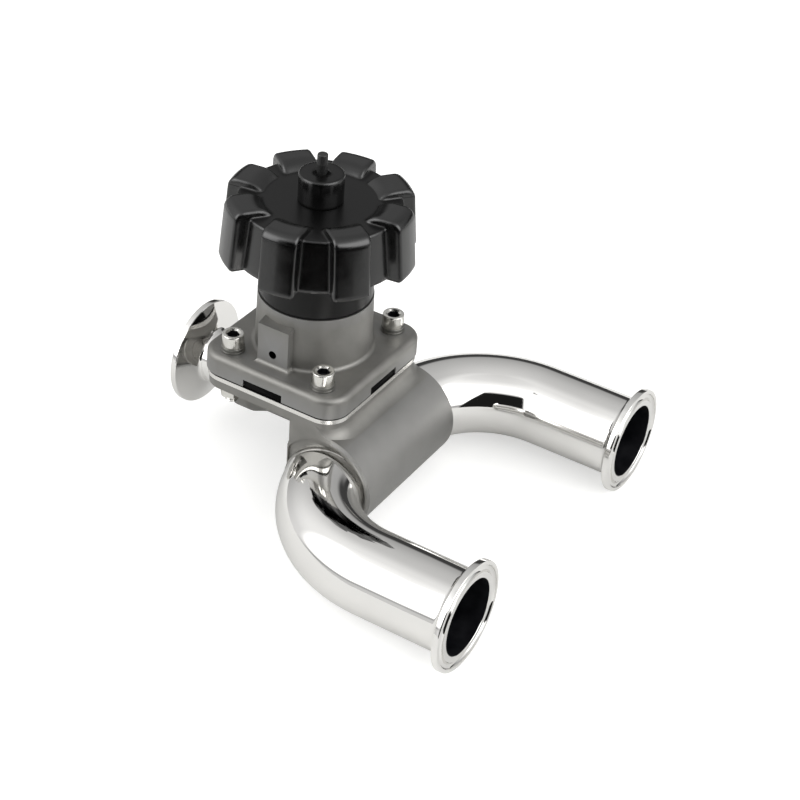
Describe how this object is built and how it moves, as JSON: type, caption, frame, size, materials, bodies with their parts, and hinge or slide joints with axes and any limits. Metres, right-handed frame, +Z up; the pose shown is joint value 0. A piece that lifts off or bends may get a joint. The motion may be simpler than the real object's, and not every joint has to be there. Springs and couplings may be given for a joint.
{
  "type": "three-way diaphragm valve",
  "caption": "Sanitary three-way diaphragm valve: header with two elbow ports, smaller outlet port, bolted bonnet, lobed handwheel and rising indicator pin.",
  "frame": {"origin": "on the ground, under the middle of the outline; the ground is the plane of the two port ferrules' lowest points", "axes": "+X out of the two elbow ports, +Y along the header towards the right port, +Z up along the spindle"},
  "size_m": [0.1918, 0.2016, 0.1646],
  "materials": {
    "cast_steel": "blasted stainless casting, matt warm grey",
    "polished_steel": "mirror polished stainless tube",
    "fastener_steel": "bright stainless fasteners",
    "machined_steel": "turned stainless",
    "bronze": "turned bronze",
    "black_rubber": "black moulded rubber",
    "wheel_plastic": "black moulded plastic, semi-gloss",
    "pin_plastic": "black moulded plastic pin"
  },
  "bodies": {
    "valve": {"valve_body": "cast_steel", "bonnet": "cast_steel", "left_elbow": "polished_steel", "right_elbow": "polished_steel", "left_ferrule": "polished_steel", "right_ferrule": "polished_steel", "outlet_ferrule": "polished_steel", "long_cap_screws": "fastener_steel", "short_cap_screws": "fastener_steel", "flat_washers": "fastener_steel", "spring_washers": "fastener_steel", "nut_washers": "fastener_steel", "hex_nuts": "fastener_steel", "bearing_cap": "machined_steel", "lower_thrust_washer": "bronze", "upper_thrust_washer": "bronze", "diaphragm": "black_rubber", "spindle_seal": "black_rubber", "sleeve_seal": "black_rubber"},
    "wheel": {"handwheel": "wheel_plastic", "hub_cap": "wheel_plastic", "pin_seal": "black_rubber", "wheel_nut": "fastener_steel", "wheel_washer": "fastener_steel", "drive_key": "machined_steel", "drive_sleeve": "bronze"},
    "stem": {"spindle": "machined_steel", "compressor": "machined_steel", "compressor_pin": "machined_steel", "diaphragm_stud": "machined_steel", "indicator_pin": "pin_plastic"}
  },
  "joints": [
    {"name": "handwheel_turn", "type": "hinge", "parent": "valve", "child": "wheel", "pos_m": [-0.0341, 0, 0.14225], "axis": [0, 0, 1], "range_deg": [-1080, 0]},
    {"name": "spindle_lift", "type": "slide", "parent": "valve", "child": "stem", "axis": [0, 0, 1], "range_m": [-0.009, 0], "deforming": ["diaphragm"]}
  ],
  "couplings": [
    {"joint": "spindle_lift", "follows": "handwheel_turn", "m_per_rad": 0.00047746}
  ]
}
